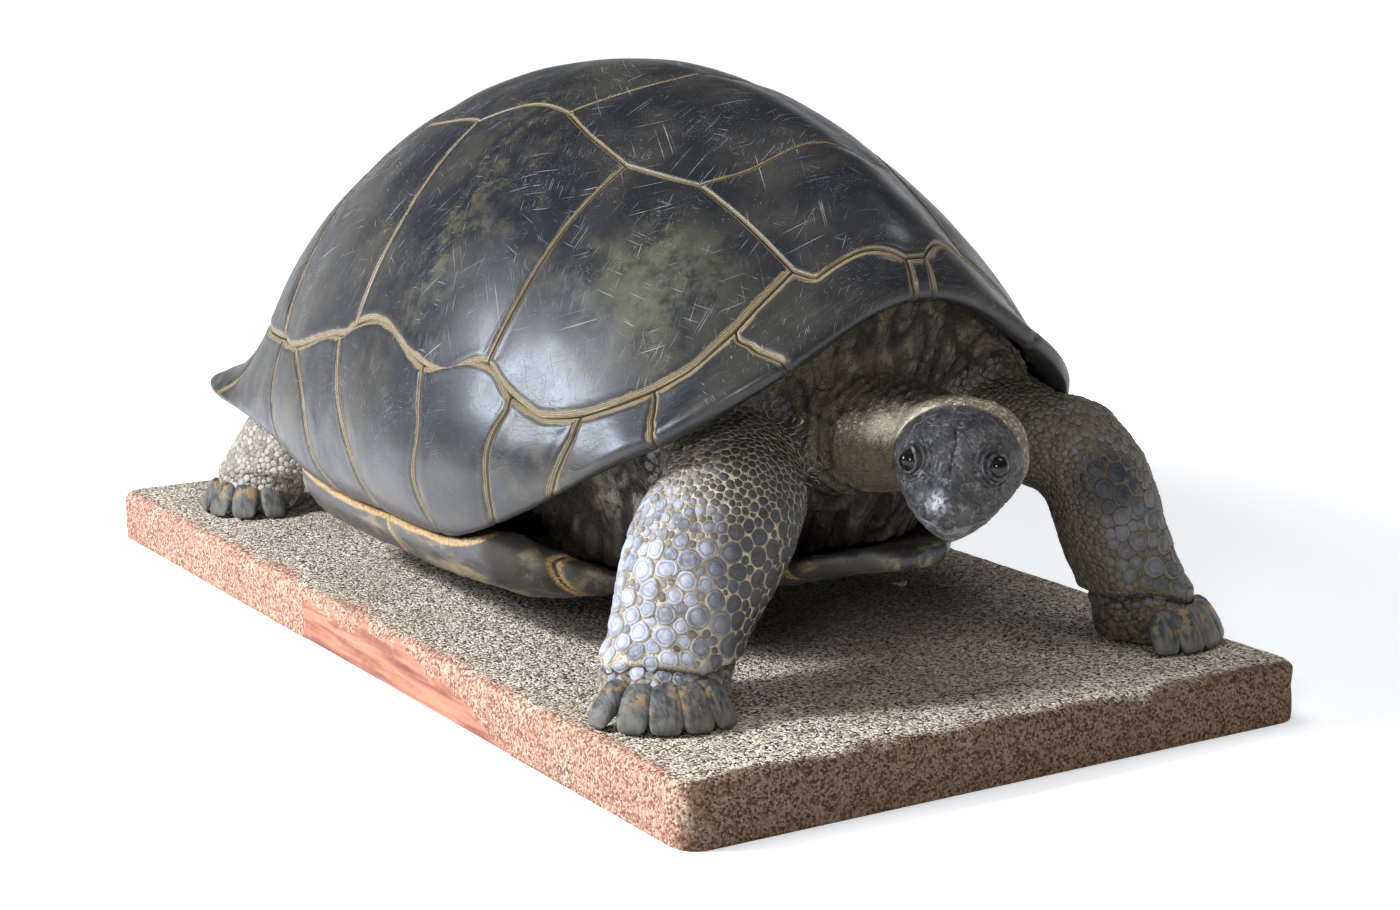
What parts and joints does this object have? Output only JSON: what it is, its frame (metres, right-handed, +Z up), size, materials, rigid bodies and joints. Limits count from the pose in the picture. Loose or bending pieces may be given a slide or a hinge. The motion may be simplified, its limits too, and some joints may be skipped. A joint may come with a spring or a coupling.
{
  "type": "mounted giant tortoise",
  "caption": "Life-size mounted giant tortoise with a high domed shell of dark horny plates, scaly legs and a lowered, turned head, standing on a thick sand-covered board.",
  "frame": {"origin": "middle of the board's underside, on the floor", "axes": "+Z up; -Y the way the animal walks, along the board; +X towards the animal's left side"},
  "size_m": [0.7026, 1.375, 0.6168],
  "materials": {
    "scute_horn": "polished near-black horn with tan growth rings along its seams and fine pale scratches",
    "plastron_horn": "worn grey-olive horn with tan streaks",
    "skin_grey": "dry wrinkled brown-grey skin with raised grey scales",
    "head_horn": "dark slate head shields with a slightly glossy horn beak",
    "claw_horn": "dark grey banded claw horn with ochre patches",
    "eye_glass": "glossy black",
    "sand": "coarse tan and brown grit glued over a wooden board"
  },
  "bodies": {
    "root": {"base_board": "sand", "nuchal": "scute_horn", "supracaudal": "scute_horn", "vertebral_1": "scute_horn", "vertebral_2": "scute_horn", "vertebral_3": "scute_horn", "vertebral_4": "scute_horn", "vertebral_5": "scute_horn", "pleural_left_1": "scute_horn", "pleural_left_2": "scute_horn", "pleural_left_3": "scute_horn", "pleural_left_4": "scute_horn", "pleural_right_1": "scute_horn", "pleural_right_2": "scute_horn", "pleural_right_3": "scute_horn", "pleural_right_4": "scute_horn", "marginal_left_1": "scute_horn", "marginal_left_2": "scute_horn", "marginal_left_3": "scute_horn", "marginal_left_4": "scute_horn", "marginal_left_5": "scute_horn", "marginal_left_6": "scute_horn", "marginal_left_7": "scute_horn", "marginal_left_8": "scute_horn", "marginal_left_9": "scute_horn", "marginal_left_10": "scute_horn", "marginal_left_11": "scute_horn", "marginal_right_1": "scute_horn", "marginal_right_2": "scute_horn", "marginal_right_3": "scute_horn", "marginal_right_4": "scute_horn", "marginal_right_5": "scute_horn", "marginal_right_6": "scute_horn", "marginal_right_7": "scute_horn", "marginal_right_8": "scute_horn", "marginal_right_9": "scute_horn", "marginal_right_10": "scute_horn", "marginal_right_11": "scute_horn", "plastron": "plastron_horn", "trunk": "skin_grey", "neck": "skin_grey", "tail": "skin_grey", "leg_front_left": "skin_grey", "leg_front_right": "skin_grey", "leg_hind_left": "skin_grey", "leg_hind_right": "skin_grey", "head": "head_horn", "jaw": "head_horn", "beak": "head_horn", "eye_left": "eye_glass", "eye_right": "eye_glass"}
  },
  "joints": []
}
